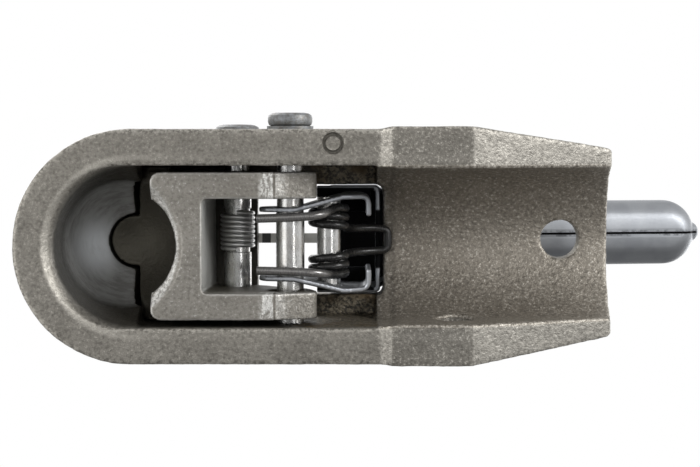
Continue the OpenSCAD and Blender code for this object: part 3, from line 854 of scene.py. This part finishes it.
@dataclass(frozen=True)
class PlatedFinish:
    """Satin plating on pressed sheet, with painted shade where the hood hides it and in the grip's slot, in
    metres.
    """

    name: str
    base: Colour = (0.33, 0.342, 0.361, 1)
    haze: Colour = (0.22, 0.231, 0.250, 1)
    # Colour of the painted shade inside the hood and in the grip's slot.
    inside: Colour = (0.012, 0.012, 0.013, 1)
    grip: GripLine = GripLine()
    grip_half_w: float = 14.25 * MM
    roll_mm: float = 3.0
    slot_half_w: float = 0.60 * MM
    hood_x0: float = 78.5 * MM
    hood_x1: float = 118 * MM
    hood_half_w: float = 21.8 * MM
    edge_z: float = 33.2 * MM
    rear_x: float = 98 * MM
    rear_half_w: float = 12.6 * MM

    def material(self) -> bpy.types.Material:
        """Builds the plating's material.

        Returns:
            The material.
        """
        graph = Graph(self.name)
        at = Place(graph)
        wave = graph.grain(at.point, 9, 2)
        speck = graph.grain(at.point, 0.8, 3, 0.6)
        hood_shade = self._hood_shade(at)
        colour = graph.blend(wave.band(0.35, 0.7) * 0.4, self.base, self.haze)
        # Painted shade: the hood's inside turns near black.
        colour = graph.blend(hood_shade, colour, self.inside)
        # Painted shade: the grip's slot turns near black, with a darker noisy band beside it.
        colour = graph.blend(self._seam(at), colour, self.inside)
        rough = speck.band(0.3, 0.75, 0.49, 0.55) + hood_shade * 0.3
        relief = graph.bump(self._roll(at), self.roll_mm, 1.0, graph.bump(wave, 0.12, 0.5))
        return graph.surface(Base_Color=colour, Roughness=rough, Metallic=1.0, Normal=relief)

    def _roll(self, at: Place) -> Value:
        """Height of the grip's rounding, which is highest along its middle."""
        square = at.across_squared * (1 / self.grip_half_w**2)
        return (1 - square) * at.along.band((self.grip.x - 4) * MM, (self.grip.x + 16) * MM)

    def _seam(self, at: Place) -> Value:
        """Share of the painted shade in the slot along the grip's underside, with a darker noisy band
        beside it.

        Args:
            at: Place on the handle.

        Returns:
            The share.
        """
        slope = math.radians(self.grip.slope)
        raised = (at.height - self.grip.z * MM) * math.cos(slope)
        raised = raised - (at.along - self.grip.x * MM) * math.sin(slope)
        slot = at.across_squared.band(self.slot_half_w**2, (self.slot_half_w - 0.18 * MM) ** 2)
        groove_darkening = at.across_squared.band((1.8 * MM) ** 2, (0.4 * MM) ** 2)
        groove_darkening = groove_darkening * at.graph.grain(at.point, 5, 4, 0.7).band(0.45, 0.62)
        start = at.along.band(self.grip.x * MM, (self.grip.x + 2) * MM)
        return slot.at_least(groove_darkening * 0.6) * raised.band(5 * MM, 4 * MM) * start

    def _hood_shade(self, at: Place) -> Value:
        """Share of the painted shade on the hood's inside, which only faces down or inwards.

        Args:
            at: Place on the handle.

        Returns:
            The share.
        """
        wide = at.across_squared.band(self.hood_half_w**2, (self.hood_half_w - 0.9 * MM) ** 2)
        start = at.along.band(self.hood_x0 - 5 * MM, self.hood_x0 - 4 * MM)
        inner = at.graph.upward().band(0.05, -0.35) * wide * start
        above = at.height.band(self.edge_z, self.edge_z + 0.6 * MM)
        low = at.along.band(self.rear_x + 0.9 * MM, self.rear_x + 0.1 * MM) * above
        high = at.along.band(self.hood_x1 + 2 * MM, self.hood_x1) * at.height.band(35.5 * MM, 36.5 * MM)
        rear = at.along.band(self.rear_x, self.rear_x + 0.8 * MM) * above * at.height.band(38 * MM, 37 * MM)
        rear = rear * at.across_squared.band(self.rear_half_w**2, (self.rear_half_w - 1 * MM) ** 2)
        return (inner * low).at_least(inner * high).at_least(rear)


@dataclass
class CastPiece:
    """A casting made from its node: rounded, slightly uneven and rough."""

    node: str
    rides: Rides
    slot: Slot
    voxel_mm: float
    smoothing: int
    uneven_mm: float
    most_faces: int = 190_000
    wave_mm: float = 9.0
    pock_mm: float = 2.5

    def build(self, frame: dict, material: bpy.types.Material) -> bpy.types.Object:
        """Copies the node, rounds its edges and roughens it.

        Args:
            material: The casting's material.

        Returns:
            The piece.
        """
        piece = copy_node(frame, self.node)
        self.prepare(piece)
        apply_modifier(piece, "REMESH", mode="VOXEL", voxel_size=self.voxel_mm * MM)
        apply_modifier(piece, "SMOOTH", factor=0.5, iterations=self.smoothing)
        if self.uneven_mm:
            self._roughen(piece, self.wave_mm, self.uneven_mm, 0.35)
            self._roughen(piece, self.pock_mm, self.uneven_mm * 0.7, 0.4)
        thin_out(piece, self.most_faces)
        self.refine(piece)
        dress(piece, material, 60)
        settle(piece, self.rides, self.slot, self.node)
        return piece

    def prepare(self, piece: bpy.types.Object) -> None:
        """Changes the copied node before its edges are rounded; a plain casting needs nothing."""

    def refine(self, piece: bpy.types.Object) -> None:
        """Cuts crisp details once the edges are round; a plain casting has none."""

    @staticmethod
    def _roughen(piece: bpy.types.Object, size_mm: float, depth_mm: float, middle: float) -> None:
        """Moves the surface in and out by a cloud pattern.

        Args:
            piece: The casting.
            size_mm: Size of the waves.
            depth_mm: Height of the waves.
            middle: Level of the pattern that stays where it is.
        """
        pattern = bpy.data.textures.new("cast_waves", "CLOUDS")
        pattern.noise_scale = size_mm * MM
        pattern.noise_depth = 1
        apply_modifier(
            piece,
            "DISPLACE",
            texture=pattern,
            texture_coords="LOCAL",
            strength=depth_mm * MM,
            mid_level=middle,
        )


@dataclass
class PressedHandle(CastPiece):
    """The rolled handle: its seam is closed while the edges are rounded, then cut as a clean line."""

    grip: GripLine = GripLine()
    length: float = 107.0
    overrun: float = 5.0
    seam: float = 0.8
    seam_depth: float = 3.6
    filler_w: float = 3.0
    filler_t: float = 2.4
    filler_z: float = 1.25
    valley_r: float = 9.0
    valley_depth: float = 0.2

    def prepare(self, piece: bpy.types.Object) -> None:
        """Closes the open seam with a strip of sheet.

        Args:
            piece: The handle.
        """
        size = (self.length + 2, self.filler_w, self.filler_t)
        filler = self._bar(size, (self.length / 2, 0, self.filler_z))
        join_or_cut(piece, filler, "UNION")

    def refine(self, piece: bpy.types.Object) -> None:
        """Rolls the seam's edges in and cuts the line between them.

        Args:
            piece: The handle.
        """
        middle = self.length / 2 + self.overrun
        below = self.valley_depth - self.valley_r
        valley = self._rod(self.valley_r, self.length + 4 * self.overrun, (middle, 0, below))
        join_or_cut(piece, valley, "DIFFERENCE")
        size = (self.length + 2 * self.overrun + 1, self.seam, self.seam_depth)
        line = self._bar(size, (middle, 0, 0.0))
        join_or_cut(piece, line, "DIFFERENCE")

    def _bar(self, size: Point, centre: Point) -> bpy.types.Object:
        """A box in the grip's own frame.

        Args:
            size: Its sides in millimetres.
            centre: Its middle, along, across and above the grip's underside.

        Returns:
            The box.
        """
        bpy.ops.object.select_all(action="DESELECT")
        bpy.ops.mesh.primitive_cube_add(size=1)
        bar = bpy.context.object
        bar.scale = Vector(size) * MM
        place_at_origin(bar)
        return self._lay(bar, centre)

    def _rod(self, radius: float, length: float, centre: Point) -> bpy.types.Object:
        """A round bar along the grip.

        Args:
            radius: Its radius in millimetres.
            length: Its length in millimetres.
            centre: Its middle, along, across and above the grip's underside.

        Returns:
            The bar.
        """
        bpy.ops.object.select_all(action="DESELECT")
        bpy.ops.mesh.primitive_cylinder_add(
            vertices=64, radius=radius * MM, depth=length * MM, rotation=(0, math.pi / 2, 0)
        )
        rod = bpy.context.object
        place_at_origin(rod)
        return self._lay(rod, centre)

    def _lay(self, tool: bpy.types.Object, centre: Point) -> bpy.types.Object:
        """Lays a tool along the sloping grip.

        Args:
            tool: The tool, made about the origin.
            centre: Its middle in the grip's frame.

        Returns:
            The tool.
        """
        turn = Matrix.Rotation(math.radians(-self.grip.slope), 4, "Y")
        start = Vector((self.grip.x, 0, self.grip.z))
        tool.matrix_world = Matrix.Translation((start + turn @ Vector(centre)) * MM) @ turn
        place_at_origin(tool)
        return tool


@dataclass
class TurnedPin:
    """A turned pin across the body, from stations of y and radius in millimetres."""

    name: str
    x: float
    z: float
    stations: list[tuple[float, float]]
    sides: int = 64

    def build(self, material: bpy.types.Material, node: str) -> bpy.types.Object:
        """Extrudes the pin station by station.

        Args:
            material: The steel's material.
            node: Node that it replaces.

        Returns:
            The piece.
        """
        start_y, start_r = self.stations[0]
        bpy.ops.object.select_all(action="DESELECT")
        centre = Vector((self.x, start_y, self.z)) * MM
        bpy.ops.mesh.primitive_circle_add(
            vertices=self.sides,
            radius=start_r * MM,
            fill_type="NGON",
            location=centre,
            rotation=(math.pi / 2, 0, 0),
        )
        piece = bpy.context.object
        piece.name = self.name
        place_at_origin(piece)
        bpy.ops.object.mode_set(mode="EDIT")
        bpy.ops.mesh.select_all(action="SELECT")
        radius = start_r
        here = start_y
        for y, r in self.stations[1:]:
            step = {"value": (0, (y - here) * MM, 0)}
            bpy.ops.mesh.extrude_region_move(TRANSFORM_OT_translate=step)
            scale = r / radius
            centre = Vector((self.x, y, self.z)) * MM
            bpy.ops.transform.resize(value=(scale, 1, scale), center_override=centre)
            radius = r
            here = y
        bpy.ops.object.mode_set(mode="OBJECT")
        recalculate(piece)
        dress(piece, material, 30)
        settle(piece, Rides.BODY, Slot.PIN, node)
        return piece


@dataclass
class WireCoil:
    """A spring bent from round wire along a path."""

    name: str
    wire_mm: float
    path: list[Point]

    def build(self, material: bpy.types.Material, rides: Rides, node: str) -> bpy.types.Object:
        """Bends the wire and turns it into a mesh.

        Args:
            material: The wire's material.
            rides: Body that the spring moves with.
            node: Node that it replaces.

        Returns:
            The piece.
        """
        bpy.ops.object.select_all(action="DESELECT")
        bpy.ops.curve.primitive_nurbs_path_add()
        piece = bpy.context.object
        piece.name = self.name
        curve = piece.data
        curve.splines.clear()
        spline = curve.splines.new("NURBS")
        spline.points.add(len(self.path) - 1)
        for point, place in zip(spline.points, self.path):
            point.co = (*[value * MM for value in place], 1)
        spline.order_u = 4
        spline.use_endpoint_u = True
        curve.resolution_u = 3
        curve.bevel_depth = self.wire_mm / 2 * MM
        curve.bevel_resolution = 4
        curve.use_fill_caps = True
        select_only(piece)
        bpy.ops.object.convert(target="MESH")
        place_at_origin(piece)
        recalculate(piece)
        dress(piece, material, 50)
        settle(piece, rides, Slot.SPRING, node)
        return piece


def coil_points(
    centre: tuple[float, float],
    radius: float,
    start: float,
    sweep: float,
    y0: float,
    y1: float,
    steps_per_turn: int = 24,
) -> list[Point]:
    """Points of a coil about an axis along Y.

    Args:
        centre: X and Z of the axis, in millimetres.
        radius: Radius of the wire's middle.
        start: First angle, in degrees.
        sweep: Angle that the coil turns through, in degrees.
        y0: Y of the first point.
        y1: Y of the last point.
        steps_per_turn: Points in a full turn.

    Returns:
        The points in order.
    """
    steps = round(abs(sweep) * steps_per_turn / 360)
    points = []
    for i in range(steps + 1):
        angle = math.radians(start + sweep * i / steps)
        y = y0 + (y1 - y0) * i / steps
        points.append((centre[0] + radius * math.cos(angle), y, centre[1] + radius * math.sin(angle)))
    return points


@dataclass
class SpringSet:
    """The jaw's return spring and the handle's double torsion spring."""

    jaw_pin: tuple[float, float] = (43.0, 20.0)
    jaw_wire: float = 1.8
    jaw_radius: float = 6.2
    jaw_turns: int = 8
    jaw_reach_y: float = 3.9
    spring_pin: tuple[float, float] = (80.0, 13.0)
    wire: float = 3.4
    radius: float = 6.8
    turns: int = 2
    leave_angle: float = 100.0
    coil_y: float = 12.8
    other_coil_y: float = 14.2
    loop_x: float = 104.2
    loop_z: float = 32.7
    leg_x: float = 51.9
    leg_z: float = -4.3

    def jaw_spring(self) -> WireCoil:
        """The close coil round the jaw pin.

        Returns:
            The spring.
        """
        pitch = self.jaw_wire + 0.06
        y1 = self.jaw_reach_y - self.jaw_wire / 2
        y0 = y1 - self.jaw_turns * pitch
        path = coil_points(self.jaw_pin, self.jaw_radius, -90, 360 * self.jaw_turns, y0, y1)
        return WireCoil("jaw_return_coil", self.jaw_wire, path)

    def handle_half(self, coil_y: float) -> list[Point]:
        """One side of the handle spring, on +Y, from the leg's cut end to the middle of the loop.

        Args:
            coil_y: Distance of the coil's outer turn from the middle plane.

        Returns:
            The points in order.
        """
        pitch = self.wire + 0.05
        sweep = 360 * self.turns + self.leave_angle
        inner_y = coil_y - pitch * sweep / 360
        leg = [
            (self.leg_x, 10.2, self.leg_z - 0.6),
            (self.leg_x + 8, 10.4, self.leg_z - 0.3),
            (self.leg_x + 16, 10.7, self.leg_z),
            (self.leg_x + 22.5, 11.2, self.leg_z + 0.8),
            (self.leg_x + 26.4, 11.8, self.leg_z + 3.4),
            (self.leg_x + 28.2, 0.5 * (11.8 + coil_y), self.leg_z + 7.2),
        ]
        coil = coil_points(self.spring_pin, self.radius, -62, sweep - 28, coil_y, inner_y)
        loop = [
            (self.loop_x - 17.0, 5.2, self.loop_z - 14.0),
            (self.loop_x - 16.2, 5.0, self.loop_z - 8.5),
            (self.loop_x - 11.0, 4.8, self.loop_z - 3.8),
            (self.loop_x - 4.0, 4.7, self.loop_z - 0.8),
            (self.loop_x - 0.9, 4.2, self.loop_z - 0.2),
            (self.loop_x - 0.2, 2.9, self.loop_z),
            (self.loop_x, 1.2, self.loop_z),
        ]
        return leg + coil + loop

    def handle_spring(self) -> WireCoil:
        """The double torsion spring with its rear loop.

        Returns:
            The spring.
        """
        half = self.handle_half(self.coil_y)
        other = [(x, -y, z) for x, y, z in reversed(self.handle_half(self.other_coil_y))]
        return WireCoil("handle_torsion_coil", self.wire, half + other)


@dataclass(frozen=True)
class Lamp:
    """A square soft lamp, in millimetres and watts."""

    name: str
    place: Point
    size: float
    power: float

    def hang(self, target: Point) -> None:
        """Hangs the lamp so that it looks at a target.

        Args:
            target: Place that it looks at, in millimetres.
        """
        data = bpy.data.lights.new(self.name, "AREA")
        data.shape = "SQUARE"
        data.size = self.size * MM
        data.energy = self.power
        lamp = bpy.data.objects.new(self.name, data)
        bpy.context.scene.collection.objects.link(lamp)
        lamp.location = Vector(self.place) * MM
        aim = Vector(target) * MM - lamp.location
        lamp.rotation_euler = aim.to_track_quat("-Z", "Y").to_euler()


@dataclass
class Studio:
    """Camera, lamps, floor and background, in millimetres."""

    focus: Point = (88.5, -5.3, -22.0)
    camera: Point = (88.5, -39.8, -672.0)
    lens: float = 87.9
    middle: Point = (90, 0, 10)
    floor_z: float = -22.3
    floor_size: float = 4000
    lamps: tuple[Lamp, ...] = (
        Lamp("key", (640, -290, -310), 260, 3.4),
        Lamp("fill", (-440, 40, -330), 600, 2.0),
        Lamp("front", (60, -260, -760), 500, 0.8),
        Lamp("glint", (400, 10, -545), 70, 0.24),
        Lamp("top_left", (-350, -420, 620), 500, 3.6),
        Lamp("top_right", (660, 120, 620), 500, 2.4),
    )

    def build(self) -> None:
        """Sets up the whole studio."""
        self._camera()
        self._world()
        self._floor()
        for lamp in self.lamps:
            lamp.hang(self.middle)

    def _camera(self) -> None:
        """The camera below the head, with the image's top towards -Y."""
        data = bpy.data.cameras.new("view")
        data.lens = self.lens
        data.sensor_width = 36
        data.clip_start = 0.01
        camera = bpy.data.objects.new("view", data)
        bpy.context.scene.collection.objects.link(camera)
        camera.location = Vector(self.camera) * MM
        back = (Vector(self.camera) - Vector(self.focus)).normalized()
        right = Vector((1, 0, 0))
        up = back.cross(right)
        camera.matrix_world = self._basis(right, up, back, camera.location)
        bpy.context.scene.camera = camera

    @staticmethod
    def _basis(right: Vector, up: Vector, back: Vector, place: Vector) -> Matrix:
        """Matrix with these axes and place.

        Args:
            right: Local X.
            up: Local Y.
            back: Local Z.
            place: Origin.

        Returns:
            The matrix.
        """
        rows = [[right[i], up[i], back[i], place[i]] for i in range(3)]
        return Matrix([*rows, [0, 0, 0, 1]])

    def _world(self) -> None:
        """White to the camera, a soft grey to the object, and brighter from above to its gloss."""
        world = bpy.data.worlds.new("studio")
        bpy.context.scene.world = world
        world.use_nodes = True
        graph = Graph.of_world(world)
        around = graph.node("ShaderNodeTexCoord", output=0)
        across, height = (graph.axis(around, i) for i in (1, 2))
        seen = graph.node("ShaderNodeLightPath", output=0)
        gloss = graph.node("ShaderNodeLightPath", output=3)
        soft = height.band(-0.7, 0.6, 0.34, 0.60)
        shine = height.band(-0.75, 0.05, 0.30, 1.0)
        shine = shine * across.band(0.05, 0.75, 1.0, 0.35)
        level = soft + gloss * (shine - soft)
        level = level + seen * (1 - level)
        light = graph.node("ShaderNodeBackground", values={"Color": (1, 1, 1, 1), "Strength": level})
        end = graph.tree.nodes.new("ShaderNodeOutputWorld")
        graph.tree.links.new(light.socket, end.inputs["Surface"])

    def _floor(self) -> None:
        """Pale floor under the rim, seen only by a camera above it."""
        bpy.ops.object.select_all(action="DESELECT")
        place = Vector((self.middle[0], 0, self.floor_z)) * MM
        bpy.ops.mesh.primitive_plane_add(size=self.floor_size * MM, location=place)
        floor = bpy.context.object
        floor.name = "floor"
        graph = Graph("pale_floor")
        paint = graph.node("ShaderNodeBsdfDiffuse", values={"Color": (0.82, 0.82, 0.82, 1)})
        clear = graph.node("ShaderNodeBsdfTransparent")
        seen = graph.node("ShaderNodeLightPath", output=0)
        back = graph.node("ShaderNodeNewGeometry", output=6)
        shown = seen * (1 - back) * graph.distance(graph.point(), (0, 0, 0)).band(0.80, 0.28)
        mixed = graph.node("ShaderNodeMixShader", values={0: shown, 1: clear, 2: paint})
        floor.data.materials.append(graph.finish(mixed))


@dataclass
class CouplingHead:
    """All the pieces of the head, sub-assembly by sub-assembly."""

    frame: dict
    springs: SpringSet = field(default_factory=SpringSet)

    def build(self) -> None:
        """Builds every piece."""
        self._castings()
        self._springs()
        self._steel()

    def _castings(self) -> None:
        """The body with its ring, the jaw and the handle."""
        casting = CastFinish("cast_skin").material()
        jaw = JawFinish("jaw_skin").material()
        plated = PlatedFinish("bright_plating").material()
        body = CastPiece(
            "body_casting", Rides.BODY, Slot.CASTING, voxel_mm=0.85, smoothing=3, uneven_mm=0.30
        ).build(self.frame, casting)
        RingMark().cut(body)
        CastPiece(
            "ball_jaw", Rides.JAW, Slot.JAW, voxel_mm=0.6, smoothing=3, uneven_mm=0.22
        ).build(self.frame, jaw)
        PressedHandle(
            "handle", Rides.LEVER, Slot.PLATED, voxel_mm=0.55, smoothing=4, uneven_mm=0.0
        ).build(self.frame, plated)

    def _springs(self) -> None:
        """The two springs."""
        bright = SteelFinish(
            "bright_wire",
            base=(0.66, 0.66, 0.65, 1),
            film=(0.40, 0.39, 0.37, 1),
            roughness=0.36,
            film_share=0.2,
        )
        oiled = SteelFinish(
            "oiled_wire",
            base=(0.19, 0.185, 0.18, 1),
            film=(0.10, 0.095, 0.09, 1),
            roughness=0.27,
            metallic=0.6,
            shade_z=-2 * MM,
        )
        self.springs.jaw_spring().build(bright.material(), Rides.BODY, "jaw_return_spring")
        self.springs.handle_spring().build(oiled.material(), Rides.LEVER, "handle_spring")

    def _steel(self) -> None:
        """The two cross pins, and the small pieces that keep the frame's shape."""
        steel = SteelFinish(
            "ground_steel",
            base=(0.56, 0.56, 0.55, 1),
            film=(0.34, 0.31, 0.27, 1),
            roughness=0.27,
            zinc_y=-44.6 * MM,
        ).material()
        strip = SteelFinish(
            "strip_steel",
            base=(0.78, 0.77, 0.73, 1),
            film=(0.50, 0.47, 0.42, 1),
            roughness=0.45,
            metallic=0.3,
            patch_x=51.9 * MM,
        ).material()
        for pin, node in self._pins():
            pin.build(steel, node)
        for name in ("handle_pin_split_washer", "spring_pin", "indicator_rivet"):
            self._paint_node(name, steel)
        self._paint_node("indicator_strip", strip)

    @staticmethod
    def _pins() -> list[tuple[TurnedPin, str]]:
        """The two riveted cross pins, each from its plain end to its domed head.

        Returns:
            The pins with the nodes that they replace.
        """
        jaw_shank = [(45.0, 5.0), (18.3, 5.0), (18.2, 5.55), (4.4, 5.55), (4.2, 5.0), (-13.2, 5.0)]
        jaw_shank += [(-13.4, 5.55), (-18.2, 5.55), (-18.3, 5.0), (-45.0, 5.0)]
        jaw_head = [(-45.0, 8.3), (-45.4, 8.75), (-46.1, 8.5), (-46.7, 7.4), (-47.1, 5.6), (-47.2, 2.0)]
        handle_shank = [(45.0, 5.3), (12.4, 5.3), (12.2, 5.6), (-12.2, 5.6), (-12.4, 5.3), (-46.4, 5.3)]
        handle_head = [(-46.4, 7.6), (-46.9, 8.4), (-48.0, 8.75), (-49.6, 8.75), (-50.6, 8.4)]
        handle_head += [(-51.3, 7.4), (-51.6, 5.8), (-51.6, 1.5)]
        return [
            (TurnedPin("jaw_pin_turned", 43.0, 20.0, jaw_shank + jaw_head), "jaw_pin"),
            (TurnedPin("handle_pin_turned", 64.9, 3.0, handle_shank + handle_head), "handle_pin"),
        ]

    def _paint_node(self, name: str, material: bpy.types.Material) -> None:
        """Gives a node of the frame its finish.

        Args:
            name: The node.
            material: Its material.
        """
        node = self.frame["nodes"][name]
        for holder in node.material_slots:
            holder.material = material
        if not node.material_slots:
            node.data.materials.append(material)
        LOG.info("%s keeps its shape", name)


def main() -> None:
    """Loads the frame, builds the head and sets up the studio."""
    logging.basicConfig(level=logging.INFO, format="%(name)s: %(message)s")
    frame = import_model()
    CouplingHead(frame).build()
    Studio().build()
    bpy.context.scene.view_settings.view_transform = "Standard"


if __name__ == "__main__":
    main()
